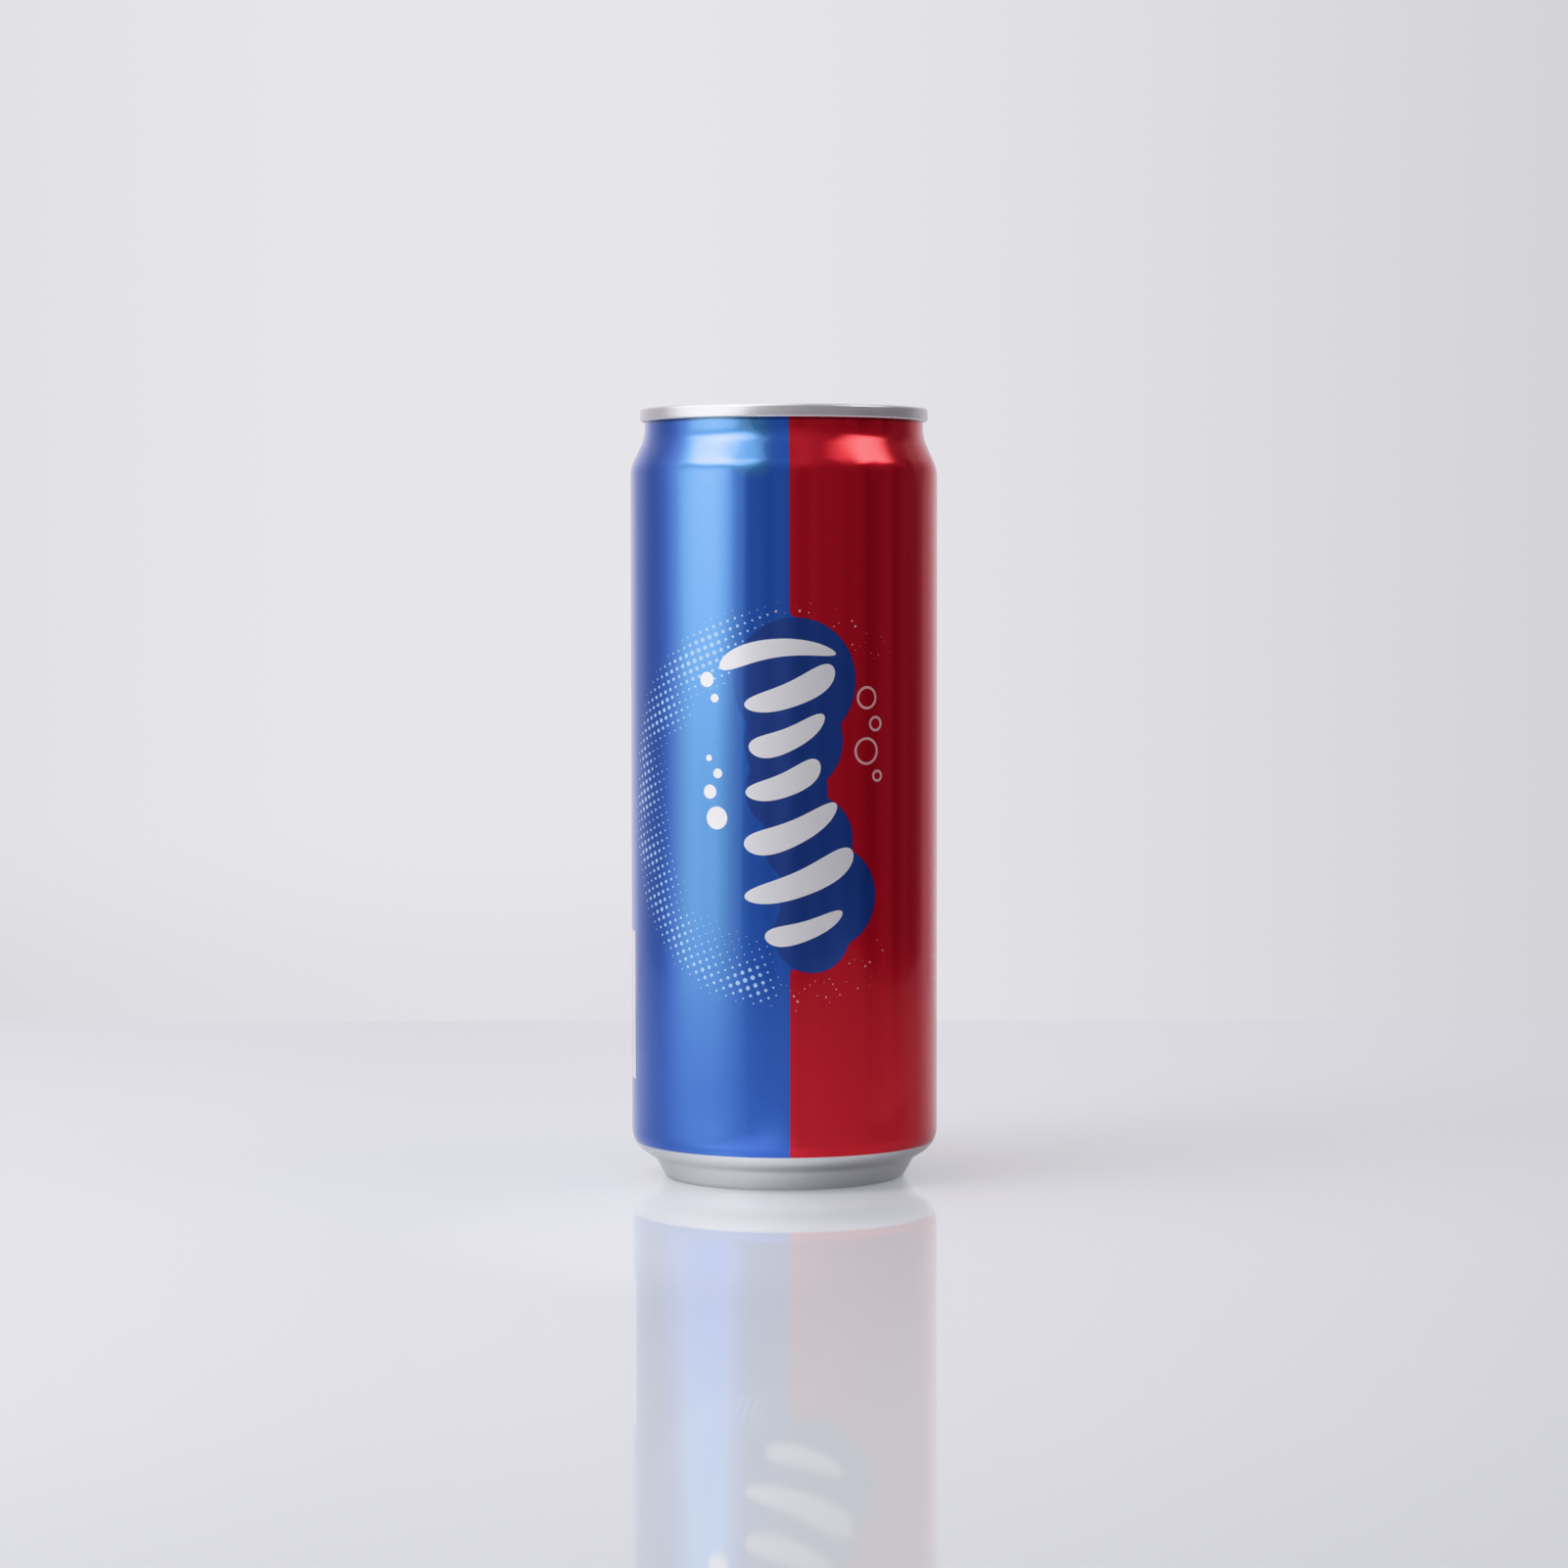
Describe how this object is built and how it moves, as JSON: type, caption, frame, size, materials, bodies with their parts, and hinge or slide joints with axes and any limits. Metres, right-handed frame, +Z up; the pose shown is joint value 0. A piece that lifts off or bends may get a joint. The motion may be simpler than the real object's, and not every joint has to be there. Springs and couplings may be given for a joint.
{
  "type": "slim drinks can",
  "caption": "Slim two-piece aluminium drinks can, shut and full, with a domed base, a necked top, a seamed end with a scored pouring panel and a stay-on pull tab.",
  "frame": {"origin": "on the can's axis, at the surface that the can stands on", "axes": "+Z up along the can's axis; the pouring panel and the front of the print face -Y, the tab's heel points to +Y"},
  "size_m": [0.058, 0.058, 0.1452],
  "materials": {
    "printed_wall": "glossy varnished print on drawn aluminium, blue on one half and red on the other, with a bare foot",
    "end_metal": "satin rolled sheet with a clear coat",
    "tab_metal": "satin rolled strip"
  },
  "bodies": {
    "root": {"can_body": "printed_wall", "can_end": "end_metal", "pull_tab": "tab_metal"}
  },
  "joints": []
}
